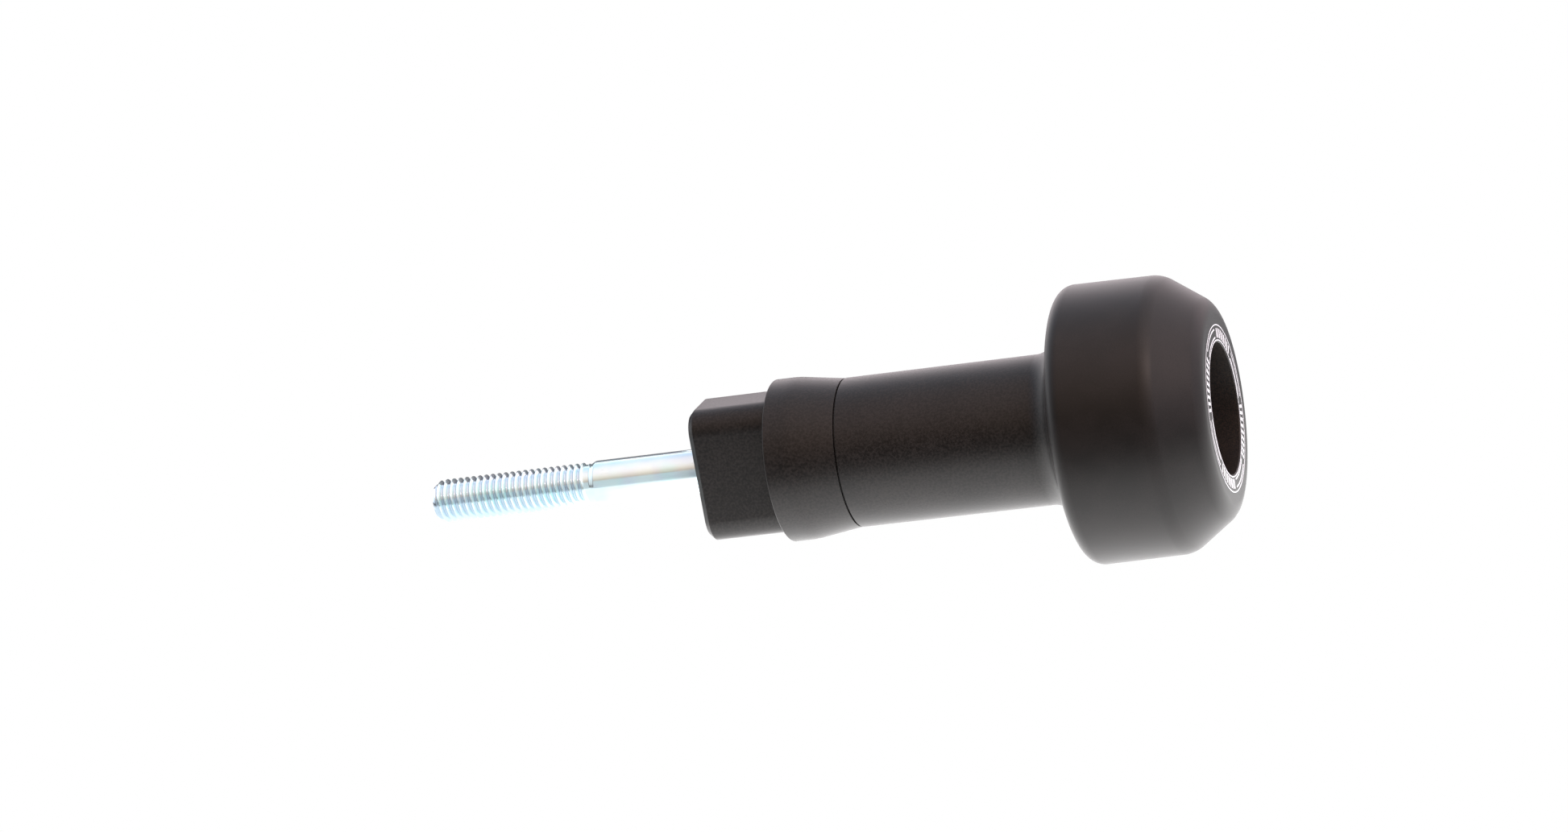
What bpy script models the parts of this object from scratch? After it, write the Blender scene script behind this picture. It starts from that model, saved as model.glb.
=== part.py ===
"""A motorcycle frame slider: a nylon head and an aluminium hub on a keyed frame spacer, on one long bolt.

The slider's axis is world X. The end face of the spacer's keyed block, which seats against the
motorcycle, is at x = 0. The nylon head points to +X and the bolt's thread stands out to -X. The
block's long side stands along Z. Each piece is turned about its own local Z, with its inboard end
at z = 0, and hangs on one empty that lays local Z along world X and local X along world -Z.
"""
import math

import bmesh
import bpy
from mathutils import Vector

# Running and seating clearances, in metres
SEAT_GAP = 0.0003
FOOT_SIDE_GAP = 0.0003
RIM_SIDE_GAP = 0.0003
SLEEVE_SIDE_GAP = 0.0003
BOLT_SIDE_GAP = 0.0005

# Frame spacer: a flat-sided keyed block and a round collar, machined as one piece
BLOCK_LENGTH = 0.0150
BLOCK_HEIGHT = 0.0243
BLOCK_DEPTH = 0.0158
BLOCK_CORNER_RADIUS = 0.0044
BLOCK_END_CHAMFER = 0.0008
COLLAR_LENGTH = 0.0127
COLLAR_LAND_LENGTH = 0.0042
COLLAR_DIAMETER = 0.0293
COLLAR_BLEND_RADIUS = 0.012
COLLAR_SEAM_STEP = 0.00005

# Hub: a straight cylinder with a flared foot that seats in the head
HUB_DIAMETER = 0.0269
HUB_REACH = 0.0408
FOOT_DIAMETER = 0.0310
FOOT_FLANGE_LENGTH = 0.0035
FOOT_FLARE_RADIUS = 0.0020

# Head: the nylon slider puck, with a slight draft, a cone and a rounded nose
HEAD_LENGTH = 0.0270
HEAD_DIAMETER = 0.0499
HEAD_SHOULDER_DIAMETER = 0.0495
HEAD_SHOULDER_HEIGHT = 0.0184
HEAD_FACE_DIAMETER = 0.0375
HEAD_INBOARD_RADIUS = 0.0028
HEAD_SHOULDER_RADIUS = 0.0060
HEAD_NOSE_RADIUS = 0.0040
HEAD_BORE_DIAMETER = 0.0235
HEAD_WEB_THICKNESS = 0.0037

# Insert: the bare metal seat in the head, with a sleeve through its web
RIM_DIAMETER = 0.0358
RIM_THICKNESS = 0.0030
FOOT_SEAT_DEPTH = 0.0014
SLEEVE_DIAMETER = 0.0140

# Bolt and washer: an M8 socket cap screw, 130 mm long, with a rolled thread, on a wide washer
BOLT_DIAMETER = 0.0080
BOLT_LENGTH = 0.1300
THREAD_DIAMETER = 0.0078
THREAD_PITCH = 0.00125
THREAD_DEPTH = 0.00074
THREAD_CREST_SHARE = 1 / 8
THREAD_ROOT_SHARE = 1 / 4
THREAD_LENGTH = 0.0290
THREAD_FADE = 0.0008
NECK_DEPTH = 0.0004
NECK_LENGTH = 0.0012
SHOULDER_LENGTH = 0.0010
BOLT_TIP_CHAMFER = 0.0010
BOLT_HEAD_DIAMETER = 0.0130
BOLT_HEAD_HEIGHT = 0.0080
BOLT_HEAD_EDGE = 0.0006
SOCKET_ACROSS_FLATS = 0.0060
SOCKET_DEPTH = 0.0046
SOCKET_CONE_DEPTH = 0.0012
WASHER_DIAMETER = 0.0220
WASHER_THICKNESS = 0.0020

# Small edges
EDGE_BREAK = 0.00025
BORE_MOUTH_CHAMFER = 0.0005

# Facets
TURN_STEPS = 64
BOLT_STEPS = 48
THREAD_STEPS = 16
SPARE_TURNS = 1.6
HEX_STEPS = 6
ARC_STEP = math.radians(13)
MERGE_DISTANCE = 0.00001
CUT_DISTANCE = 0.0000001
SHARP_ANGLE = math.radians(28)
CUTTER_MARGIN = 0.001

# Radii that several pieces share
THROUGH_BORE_RADIUS = BOLT_DIAMETER / 2 + BOLT_SIDE_GAP
HUB_RADIUS = HUB_DIAMETER / 2
FOOT_RADIUS = FOOT_DIAMETER / 2
RIM_RADIUS = RIM_DIAMETER / 2
SLEEVE_RADIUS = SLEEVE_DIAMETER / 2
CREST_RADIUS = THREAD_DIAMETER / 2
ROOT_RADIUS = CREST_RADIUS - THREAD_DEPTH

# Stations along the slider's axis, from the block's end face
SPACER_LENGTH = BLOCK_LENGTH + COLLAR_LENGTH
HUB_START = SPACER_LENGTH + SEAT_GAP
HEAD_START = HUB_START + HUB_REACH
HUB_LENGTH = HUB_REACH + FOOT_SEAT_DEPTH - SEAT_GAP
RECESS_DEPTH = RIM_THICKNESS + SEAT_GAP
INSERT_LENGTH = RECESS_DEPTH + HEAD_WEB_THICKNESS
WASHER_START = HEAD_START + INSERT_LENGTH + SEAT_GAP
BOLT_SEAT = WASHER_START + WASHER_THICKNESS + SEAT_GAP
BOLT_START = BOLT_SEAT - BOLT_LENGTH


def clear_scene():
    """Remove every object of the open file."""
    for item in list(bpy.data.objects):
        bpy.data.objects.remove(item)


def add_collection(name):
    """Add a collection to the scene."""
    collection = bpy.data.collections.new(name)
    bpy.context.scene.collection.children.link(collection)
    return collection


def add_material(name, colour, roughness, metallic):
    """Make a Principled material of one colour."""
    material = bpy.data.materials.new(name)
    material.use_nodes = True
    shader = material.node_tree.nodes["Principled BSDF"]
    shader.inputs["Base Color"].default_value = (*colour, 1.0)
    shader.inputs["Roughness"].default_value = roughness
    shader.inputs["Metallic"].default_value = metallic
    material.diffuse_color = (*colour, 1.0)
    return material


def rounded_path(corners, closed=True):
    """Round the corners of a path.

    Each corner is (x, y) or (x, y, rounding). A rounding no larger than EDGE_BREAK or
    BORE_MOUTH_CHAMFER becomes one flat chamfer, and a larger one an arc.
    """
    points = []
    count = len(corners)
    for index, corner in enumerate(corners):
        here = Vector(corner[:2])
        at_end = not closed and index in (0, count - 1)
        if len(corner) == 2 or at_end:
            points.append(here)
            continue
        rounding = corner[2]
        back = (Vector(corners[index - 1][:2]) - here).normalized()
        ahead = (Vector(corners[(index + 1) % count][:2]) - here).normalized()
        turn = math.pi - back.angle(ahead)
        centre = here + (back + ahead).normalized() * rounding / math.cos(turn / 2)
        spoke = here + back * rounding * math.tan(turn / 2) - centre
        last = here + ahead * rounding * math.tan(turn / 2) - centre
        start = math.atan2(spoke.y, spoke.x)
        sweep = math.remainder(math.atan2(last.y, last.x) - start, math.tau)
        is_chamfer = rounding <= max(EDGE_BREAK, BORE_MOUTH_CHAMFER)
        steps = 1 if is_chamfer else max(2, math.ceil(turn / ARC_STEP))
        for step in range(steps + 1):
            angle = start + sweep * step / steps
            points.append(centre + rounding * Vector((math.cos(angle), math.sin(angle))))
    return points


def add_turned(name, corners, collection, parent, station, closed=True, steps=TURN_STEPS):
    """Turn a profile of (radius, height) corners, outer side first and downwards, about local Z."""
    points = rounded_path(corners, closed)
    edges = [(index, index + 1) for index in range(len(points) - 1)]
    if closed:
        edges.append((len(points) - 1, 0))
    mesh = bpy.data.meshes.new(name)
    mesh.from_pydata([(point.x, 0.0, point.y) for point in points], edges, [])
    item = bpy.data.objects.new(name, mesh)
    collection.objects.link(item)
    item.parent = parent
    item.location = (0.0, 0.0, station)
    screw = item.modifiers.new("Turn", "SCREW")
    screw.axis = "Z"
    screw.angle = math.tau
    screw.steps = steps
    screw.render_steps = steps
    screw.use_merge_vertices = True
    screw.merge_threshold = MERGE_DISTANCE
    return item


def combine(item, tool, operation):
    """Add an exact Boolean with a hidden tool object."""
    tool.hide_render = True
    tool.display_type = "WIRE"
    boolean = item.modifiers.new(operation.title(), "BOOLEAN")
    boolean.operation = operation
    boolean.solver = "EXACT"
    boolean.object = tool


def finish_piece(item, material):
    """Shade a piece smooth between its sharp edges and give it its material."""
    bpy.context.view_layer.update()
    evaluated = item.evaluated_get(bpy.context.evaluated_depsgraph_get())
    mesh = bpy.data.meshes.new_from_object(evaluated)
    mesh.name = item.name
    item.modifiers.clear()
    item.data = mesh
    mesh.materials.clear()
    mesh.materials.append(material)
    mesh.shade_smooth()
    mesh.set_sharp_from_angle(angle=SHARP_ANGLE)


def add_block_tool(collection, parent):
    """Extrude the keyed block's rounded outline, with chamfered ends, from z = 0 into the collar."""
    half_height = BLOCK_HEIGHT / 2
    half_depth = BLOCK_DEPTH / 2
    signs = ((1, 1), (-1, 1), (-1, -1), (1, -1))
    corners = [(half_height * x, half_depth * y, BLOCK_CORNER_RADIUS) for x, y in signs]
    outline = rounded_path(corners)
    length = BLOCK_LENGTH + COLLAR_LAND_LENGTH / 2
    curve = bpy.data.curves.new("block_outline", "CURVE")
    curve.dimensions = "2D"
    curve.fill_mode = "BOTH"
    curve.extrude = length / 2 - BLOCK_END_CHAMFER
    curve.bevel_depth = BLOCK_END_CHAMFER
    curve.bevel_resolution = 0
    curve.offset = -BLOCK_END_CHAMFER
    spline = curve.splines.new("POLY")
    spline.points.add(len(outline) - 1)
    for point, place in zip(spline.points, outline):
        point.co = (place.x, place.y, 0.0, 1.0)
    spline.use_cyclic_u = True
    guide = bpy.data.objects.new("block_outline", curve)
    collection.objects.link(guide)
    bpy.context.view_layer.update()
    evaluated = guide.evaluated_get(bpy.context.evaluated_depsgraph_get())
    mesh = bpy.data.meshes.new_from_object(evaluated)
    bpy.data.objects.remove(guide)
    tool = bpy.data.objects.new("block_tool", mesh)
    collection.objects.link(tool)
    tool.parent = parent
    tool.location = (0.0, 0.0, length / 2)
    weld = tool.modifiers.new("Weld", "WELD")
    weld.merge_threshold = MERGE_DISTANCE
    return tool


def add_frame_spacer(collection, cutters, parent, material):
    """Join the turned collar to the keyed block, and bore both for the bolt."""
    collar_radius = COLLAR_DIAMETER / 2
    seam_radius = HUB_RADIUS - COLLAR_SEAM_STEP
    collar = [
        (0.0, COLLAR_LENGTH),
        (seam_radius, COLLAR_LENGTH, EDGE_BREAK),
        (collar_radius, COLLAR_LAND_LENGTH, COLLAR_BLEND_RADIUS),
        (collar_radius, 0.0, EDGE_BREAK),
        (0.0, 0.0),
    ]
    spacer = add_turned("frame_spacer", collar, collection, parent, BLOCK_LENGTH, closed=False)
    combine(spacer, add_block_tool(cutters, parent), "UNION")
    mouth_radius = THROUGH_BORE_RADIUS + BORE_MOUTH_CHAMFER
    bore = [
        (0.0, SPACER_LENGTH + CUTTER_MARGIN),
        (mouth_radius + CUTTER_MARGIN, SPACER_LENGTH + CUTTER_MARGIN),
        (THROUGH_BORE_RADIUS, SPACER_LENGTH - BORE_MOUTH_CHAMFER),
        (THROUGH_BORE_RADIUS, BORE_MOUTH_CHAMFER),
        (mouth_radius + CUTTER_MARGIN, -CUTTER_MARGIN),
        (0.0, -CUTTER_MARGIN),
    ]
    tool = add_turned("spacer_bore_tool", bore, cutters, parent, 0.0, closed=False, steps=BOLT_STEPS)
    combine(spacer, tool, "DIFFERENCE")
    finish_piece(spacer, material)


def add_hub(collection, parent, material):
    """Turn the hub: a bored cylinder whose flared foot ends in a flange."""
    flange_start = HUB_LENGTH - FOOT_FLANGE_LENGTH
    profile = [
        (FOOT_RADIUS, HUB_LENGTH, EDGE_BREAK),
        (FOOT_RADIUS, flange_start, EDGE_BREAK),
        (HUB_RADIUS, flange_start, FOOT_FLARE_RADIUS - EDGE_BREAK),
        (HUB_RADIUS, 0.0, EDGE_BREAK),
        (THROUGH_BORE_RADIUS, 0.0, BORE_MOUTH_CHAMFER),
        (THROUGH_BORE_RADIUS, HUB_LENGTH, BORE_MOUTH_CHAMFER),
    ]
    finish_piece(add_turned("hub", profile, collection, parent, HUB_START), material)


def add_head_insert(collection, parent, material):
    """Turn the insert: a rim with a seat for the hub's foot, and a sleeve through the head's web."""
    seat_radius = FOOT_RADIUS + FOOT_SIDE_GAP
    profile = [
        (SLEEVE_RADIUS, INSERT_LENGTH, EDGE_BREAK),
        (SLEEVE_RADIUS, RIM_THICKNESS),
        (RIM_RADIUS, RIM_THICKNESS, EDGE_BREAK),
        (RIM_RADIUS, 0.0, EDGE_BREAK),
        (seat_radius, 0.0, EDGE_BREAK),
        (seat_radius, FOOT_SEAT_DEPTH),
        (THROUGH_BORE_RADIUS, FOOT_SEAT_DEPTH, BORE_MOUTH_CHAMFER),
        (THROUGH_BORE_RADIUS, INSERT_LENGTH, BORE_MOUTH_CHAMFER),
    ]
    finish_piece(add_turned("head_insert", profile, collection, parent, HEAD_START), material)


def add_slider_head(collection, parent, material):
    """Turn the nylon head, open at the outer end for the bolt's head and at the inner for the insert."""
    bore_radius = HEAD_BORE_DIAMETER / 2
    recess_radius = RIM_RADIUS + RIM_SIDE_GAP
    sleeve_hole_radius = SLEEVE_RADIUS + SLEEVE_SIDE_GAP
    profile = [
        (HEAD_FACE_DIAMETER / 2, HEAD_LENGTH, HEAD_NOSE_RADIUS),
        (HEAD_SHOULDER_DIAMETER / 2, HEAD_SHOULDER_HEIGHT, HEAD_SHOULDER_RADIUS),
        (HEAD_DIAMETER / 2, 0.0, HEAD_INBOARD_RADIUS),
        (recess_radius, 0.0, EDGE_BREAK),
        (recess_radius, RECESS_DEPTH),
        (sleeve_hole_radius, RECESS_DEPTH),
        (sleeve_hole_radius, INSERT_LENGTH),
        (bore_radius, INSERT_LENGTH),
        (bore_radius, HEAD_LENGTH, EDGE_BREAK),
    ]
    finish_piece(add_turned("slider_head", profile, collection, parent, HEAD_START), material)


def add_bolt_washer(collection, parent, material):
    """Turn the wide washer under the bolt's head."""
    radius = WASHER_DIAMETER / 2
    profile = [
        (radius, WASHER_THICKNESS, EDGE_BREAK),
        (radius, 0.0, EDGE_BREAK),
        (THROUGH_BORE_RADIUS, 0.0),
        (THROUGH_BORE_RADIUS, WASHER_THICKNESS),
    ]
    finish_piece(add_turned("bolt_washer", profile, collection, parent, WASHER_START), material)


def add_thread(cutters, parent):
    """Wind one tooth of the thread into a rod, which is cut at both ends and capped.

    The rod's crests are then drawn in: to the chamfer at the tip, z = 0, and down to the root
    over the last stretch, where the thread fades out.
    """
    start = -SPARE_TURNS * THREAD_PITCH
    crest = THREAD_CREST_SHARE * THREAD_PITCH
    flank = (THREAD_PITCH - crest - THREAD_ROOT_SHARE * THREAD_PITCH) / 2
    tooth = [
        (ROOT_RADIUS, start + THREAD_PITCH),
        (ROOT_RADIUS, start + flank + crest + flank),
        (CREST_RADIUS, start + flank + crest),
        (CREST_RADIUS, start + flank),
        (ROOT_RADIUS, start),
    ]
    edges = [(index, index + 1) for index in range(len(tooth) - 1)]
    mesh = bpy.data.meshes.new("thread_tool")
    mesh.from_pydata([(radius, 0.0, height) for radius, height in tooth], edges, [])
    tool = bpy.data.objects.new("thread_tool", mesh)
    cutters.objects.link(tool)
    helix = tool.modifiers.new("Wind", "SCREW")
    helix.axis = "Z"
    helix.angle = math.tau
    helix.screw_offset = THREAD_PITCH
    helix.iterations = math.ceil(THREAD_LENGTH / THREAD_PITCH + 2 * SPARE_TURNS)
    helix.steps = THREAD_STEPS
    helix.render_steps = THREAD_STEPS
    bpy.context.view_layer.update()
    evaluated = tool.evaluated_get(bpy.context.evaluated_depsgraph_get())
    rod = bmesh.new()
    rod.from_mesh(evaluated.data)
    tool.modifiers.clear()
    bmesh.ops.remove_doubles(rod, verts=rod.verts, dist=MERGE_DISTANCE)
    for height, way in ((0.0, -1.0), (THREAD_LENGTH, 1.0)):
        bmesh.ops.bisect_plane(
            rod,
            geom=[*rod.verts, *rod.edges, *rod.faces],
            dist=CUT_DISTANCE,
            plane_co=(0.0, 0.0, height),
            plane_no=(0.0, 0.0, way),
            clear_outer=True,
        )
    bmesh.ops.holes_fill(rod, edges=rod.edges, sides=0)
    for vert in rod.verts:
        radius = vert.co.xy.length
        at_tip = CREST_RADIUS - BOLT_TIP_CHAMFER + vert.co.z
        at_end = ROOT_RADIUS + (THREAD_LENGTH - vert.co.z) * THREAD_DEPTH / THREAD_FADE
        vert.co.xy *= min(radius, at_tip, at_end) / radius
    bmesh.ops.recalc_face_normals(rod, faces=rod.faces)
    rod.to_mesh(mesh)
    rod.free()
    tool.parent = parent
    tool.location = (0.0, 0.0, BOLT_START)
    return tool


def add_through_bolt(collection, cutters, parent, material):
    """Turn the bolt from its thread's last turn to its head, cut the socket and join the thread."""
    shank_radius = BOLT_DIAMETER / 2
    neck_radius = CREST_RADIUS - NECK_DEPTH
    head_radius = BOLT_HEAD_DIAMETER / 2
    top = BOLT_LENGTH + BOLT_HEAD_HEIGHT
    neck_end = THREAD_LENGTH + NECK_LENGTH
    core_radius = ROOT_RADIUS - EDGE_BREAK
    profile = [
        (0.0, top),
        (head_radius - BOLT_HEAD_EDGE, top),
        (head_radius, top - BOLT_HEAD_EDGE),
        (head_radius, BOLT_LENGTH, EDGE_BREAK),
        (shank_radius, BOLT_LENGTH),
        (shank_radius, neck_end + SHOULDER_LENGTH),
        (neck_radius, neck_end),
        (neck_radius, THREAD_LENGTH),
        (core_radius, THREAD_LENGTH - THREAD_PITCH),
        (0.0, THREAD_LENGTH - THREAD_PITCH),
    ]
    bolt = add_turned(
        "through_bolt", profile, collection, parent, BOLT_START, closed=False, steps=BOLT_STEPS
    )
    corner_radius = SOCKET_ACROSS_FLATS / math.sqrt(3)
    socket_floor = top - SOCKET_DEPTH
    socket = [
        (0.0, top + CUTTER_MARGIN),
        (corner_radius, top + CUTTER_MARGIN),
        (corner_radius, socket_floor),
        (0.0, socket_floor - SOCKET_CONE_DEPTH),
    ]
    tool = add_turned(
        "socket_tool", socket, cutters, parent, BOLT_START, closed=False, steps=HEX_STEPS
    )
    combine(bolt, tool, "DIFFERENCE")
    combine(bolt, add_thread(cutters, parent), "UNION")
    finish_piece(bolt, material)


def main():
    """Build the slider."""
    clear_scene()
    collection = add_collection("motorcycle_frame_slider")
    cutters = add_collection("cutters")
    anodised = add_material("black_anodised", (0.030, 0.027, 0.027), 0.42, 0.55)
    nylon = add_material("black_nylon", (0.027, 0.026, 0.027), 0.38, 0.0)
    bare_metal = add_material("bare_aluminium", (0.74, 0.73, 0.71), 0.34, 1.0)
    zinc = add_material("zinc_plate", (0.72, 0.75, 0.79), 0.25, 1.0)

    axis = bpy.data.objects.new("slider_axis", None)
    axis.rotation_euler = (0.0, math.pi / 2, 0.0)
    collection.objects.link(axis)

    add_frame_spacer(collection, cutters, axis, anodised)
    add_hub(collection, axis, anodised)
    add_head_insert(collection, axis, bare_metal)
    add_slider_head(collection, axis, nylon)
    add_bolt_washer(collection, axis, zinc)
    add_through_bolt(collection, cutters, axis, zinc)


main()
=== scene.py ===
"""The looks of a motorcycle frame slider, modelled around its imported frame.

A nylon head and a blasted aluminium hub stand on a keyed spacer, and one long zinc-plated bolt
holds them. The slider's axis is world X: the spacer's end face is at x = 0, the head's open face
looks to +X, and the bolt's thread stands out to -X. Every length is in metres.
"""

import logging
import math
from contextlib import contextmanager
from dataclasses import dataclass
from enum import Enum
from typing import Any, Callable, Iterator, Sequence

import bmesh
import bpy
from bpy.types import Material, NodeSocket, NodeTree, Object
from mathutils import Matrix, Vector


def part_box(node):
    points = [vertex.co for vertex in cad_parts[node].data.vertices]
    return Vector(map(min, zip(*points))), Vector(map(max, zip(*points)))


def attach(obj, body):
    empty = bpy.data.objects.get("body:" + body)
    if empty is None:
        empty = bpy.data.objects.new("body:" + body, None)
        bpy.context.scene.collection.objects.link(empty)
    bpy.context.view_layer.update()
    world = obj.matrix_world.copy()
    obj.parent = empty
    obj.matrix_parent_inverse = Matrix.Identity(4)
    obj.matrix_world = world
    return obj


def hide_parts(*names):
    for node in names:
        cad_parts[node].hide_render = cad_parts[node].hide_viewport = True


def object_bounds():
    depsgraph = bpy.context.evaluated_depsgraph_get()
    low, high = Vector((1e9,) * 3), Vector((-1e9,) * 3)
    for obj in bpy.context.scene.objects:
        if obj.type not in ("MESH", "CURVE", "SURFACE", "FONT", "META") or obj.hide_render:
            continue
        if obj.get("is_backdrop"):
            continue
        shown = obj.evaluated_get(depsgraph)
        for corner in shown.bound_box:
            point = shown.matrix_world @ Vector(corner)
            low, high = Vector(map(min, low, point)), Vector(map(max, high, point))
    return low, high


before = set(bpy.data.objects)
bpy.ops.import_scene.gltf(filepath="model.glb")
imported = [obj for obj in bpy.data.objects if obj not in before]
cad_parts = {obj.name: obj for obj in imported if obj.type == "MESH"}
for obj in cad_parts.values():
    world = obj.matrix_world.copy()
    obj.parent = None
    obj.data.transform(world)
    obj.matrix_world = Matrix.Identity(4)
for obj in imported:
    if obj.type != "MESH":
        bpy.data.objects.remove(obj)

LOG = logging.getLogger("frame_slider")

MILLIMETRE = 0.001
TOUCH = 0.000002
SMOOTH_ANGLE = math.radians(32)
NORMAL_WEIGHT = 70
ARC_STEP = math.radians(6)
LEAST_ARC_STEPS = 3
EDGE_BREAK = 0.00025
BORE_CHAMFER = 0.0005
WIDE_TURN = 256
BOLT_TURN = 128
ROUND_PROFILE = 0.5
NOISE_MIDDLE = 0.5
PLAIN_DETAIL = 1.0
SOFT_DETAIL = 2.0
FINE_DETAIL = 3.0
WORN_DETAIL = 4.0

Colour = tuple[float, float, float]


class Body(Enum):
    """The bodies that pieces ride on."""

    SLIDER = "slider"
    BOLT = "bolt"


class Slot(Enum):
    """The record's material slots."""

    ANODISED = "anodised"
    BARE_METAL = "bare_metal"
    NYLON = "nylon"
    ZINC = "zinc"


# Shader maths


class Signal:
    """A number that varies over a surface. Python's operators add its Math nodes."""

    def __init__(self, graph: "Graph", socket: NodeSocket) -> None:
        """Wrap one output socket of a graph."""
        self.graph = graph
        self.socket = socket

    def math(self, operation: str, first: Any, second: Any) -> "Signal":
        """Add one Math node.

        Args:
            operation: The node's operation.
            first: Its first value or signal.
            second: Its second value or signal.

        Returns:
            The node's result.
        """
        return self.graph.signal("ShaderNodeMath", {"operation": operation}, {0: first, 1: second})

    def __add__(self, other: Any) -> "Signal":
        """Add a value or signal."""
        return self.math("ADD", self, other)

    def __sub__(self, other: Any) -> "Signal":
        """Take a value or signal away."""
        return self.math("SUBTRACT", self, other)

    def __rsub__(self, other: Any) -> "Signal":
        """Take this signal from a value."""
        return self.math("SUBTRACT", other, self)

    def __mul__(self, other: Any) -> "Signal":
        """Multiply by a value or signal."""
        return self.math("MULTIPLY", self, other)

    def __truediv__(self, other: Any) -> "Signal":
        """Divide by a value or signal."""
        return self.math("DIVIDE", self, other)

    def __pow__(self, other: Any) -> "Signal":
        """Raise to a power."""
        return self.math("POWER", self, other)

    __radd__ = __add__

    def blend(self, other: "Signal", share: float) -> "Signal":
        """Add up a share of this signal and the rest of another."""
        return self * share + other * (1 - share)

    def above(self, low: float, high: float) -> "Signal":
        """Rise smoothly from 0 at low to 1 at high."""
        ends = {"Value": self, "From Min": low, "From Max": high}
        return self.graph.signal("ShaderNodeMapRange", {"interpolation_type": "SMOOTHSTEP"}, ends)


class Graph:
    """The nodes of one material or of the world."""

    def __init__(self, tree: NodeTree) -> None:
        """Start on an empty node tree."""
        self.tree = tree
        tree.nodes.clear()

    def node(self, kind: str, settings: dict[str, Any], inputs: dict[Any, Any]) -> Any:
        """Add a node.

        Args:
            kind: The node's type.
            settings: Its properties, set before its sockets.
            inputs: Values, signals or sockets, by the input's name or number.

        Returns:
            The new node.
        """
        made = self.tree.nodes.new(kind)
        for name, value in settings.items():
            setattr(made, name, value)
        for key, value in inputs.items():
            source = value.socket if isinstance(value, Signal) else value
            if isinstance(source, NodeSocket):
                self.tree.links.new(source, made.inputs[key])
            else:
                made.inputs[key].default_value = source
        return made

    def signal(self, kind: str, settings: dict[str, Any], inputs: dict[Any, Any]) -> Signal:
        """Add a node and wrap its first output."""
        return Signal(self, self.node(kind, settings, inputs).outputs[0])

    def place(self, stretch: Sequence[float] = (1.0, 1.0, 1.0)) -> NodeSocket:
        """Give the point on the piece, in its own coordinates, with each axis stretched."""
        point = self.node("ShaderNodeTexCoord", {}, {}).outputs["Object"]
        return self.node("ShaderNodeMapping", {}, {"Vector": point, "Scale": stretch}).outputs[0]

    def parts(self, vector: NodeSocket) -> tuple[Signal, Signal, Signal]:
        """Split a vector into its three numbers."""
        split = self.node("ShaderNodeSeparateXYZ", {}, {0: vector})
        return tuple(Signal(self, output) for output in split.outputs)

    def noise(self, place: NodeSocket, size: float, detail: float = SOFT_DETAIL) -> Signal:
        """Give soft noise whose grains have a size in metres."""
        return self.signal(
            "ShaderNodeTexNoise", {}, {"Vector": place, "Scale": 1.0 / size, "Detail": detail}
        )

    def radius(self) -> Signal:
        """Give a point's distance from the slider's axis."""
        _, across, height = self.parts(self.place())
        return (across * across + height * height) ** 0.5

    def lathe(self, place: NodeSocket) -> NodeSocket:
        """Give a point's place along the axis and distance from it, where turning leaves rings."""
        along, _, _ = self.parts(place)
        return self.node("ShaderNodeCombineXYZ", {}, {0: along, 1: self.radius()}).outputs[0]

    def vector(self, operation: str, first: Any, second: Any) -> NodeSocket:
        """Add one Vector Math node that works on two vectors or colours."""
        sockets = {0: first, 1: second}
        return self.node("ShaderNodeVectorMath", {"operation": operation}, sockets).outputs[0]

    def scaled(self, colour: Any, share: Signal) -> NodeSocket:
        """Scale a colour by a signal."""
        sockets = {0: colour, "Scale": share}
        return self.node("ShaderNodeVectorMath", {"operation": "SCALE"}, sockets).outputs[0]

    def seen(self) -> Signal:
        """Give 1 to the camera's own rays and 0 to all others."""
        return self.signal("ShaderNodeLightPath", {}, {})

    def mix(self, share: Any, first: Any, second: Any) -> NodeSocket:
        """Mix two colours by a share from 0 to 1."""
        ends = {0: share, 6: opaque(first), 7: opaque(second)}
        return self.node("ShaderNodeMix", {"data_type": "RGBA"}, ends).outputs[2]

    def bump(self, height: Signal, depth: float) -> NodeSocket:
        """Turn a height signal of a real depth into a normal."""
        sockets = {"Height": height, "Distance": depth, "Strength": 1.0}
        return self.node("ShaderNodeBump", {}, sockets).outputs[0]

    def finish(self, settings: dict[str, Any]) -> None:
        """Add the Principled shader with its sockets and the material's output."""
        shader = self.node("ShaderNodeBsdfPrincipled", {}, settings).outputs[0]
        self.node("ShaderNodeOutputMaterial", {}, {"Surface": shader})


def opaque(colour: Any) -> Any:
    """Give a plain colour its alpha, and leave sockets alone."""
    return (*colour, 1.0) if isinstance(colour, tuple) else colour


def material_graph(name: str) -> tuple[Material, Graph]:
    """Start a node material."""
    material = bpy.data.materials.new(name)
    material.use_nodes = True
    return material, Graph(material.node_tree)


# Finishes


@dataclass(frozen=True)
class BlastedAnodise:
    """Bead-blasted aluminium under black anodising."""

    deep: Colour = (0.005, 0.0044, 0.0044)
    thin: Colour = (0.017, 0.0146, 0.0142)
    index: float = 1.36
    roughness: float = 0.42
    roughness_spread: float = 0.16
    grain: float = 0.42 * MILLIMETRE
    pits: float = 0.80 * MILLIMETRE
    patch: float = 9.0 * MILLIMETRE
    relief: float = 0.020 * MILLIMETRE
    shade_reach: tuple[float, float] = (0.36, 0.66)
    grain_share: float = 0.75
    pit_share: float = 0.3

    def make(self) -> Material:
        """Build the material."""
        material, graph = material_graph("black_anodised")
        place = graph.place()
        grain = graph.noise(place, self.grain, FINE_DETAIL)
        pits = graph.noise(place, self.pits)
        patch = graph.noise(place, self.patch)
        tone = grain.blend(patch, self.grain_share).above(*self.shade_reach)
        colour = graph.mix(tone, self.deep, self.thin)
        roughness = self.roughness + (grain - NOISE_MIDDLE) * self.roughness_spread
        height = pits.blend(grain, self.pit_share)
        graph.finish(
            {
                "Base Color": colour,
                "Roughness": roughness,
                "IOR": self.index,
                "Normal": graph.bump(height, self.relief),
            }
        )
        return material


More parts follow.
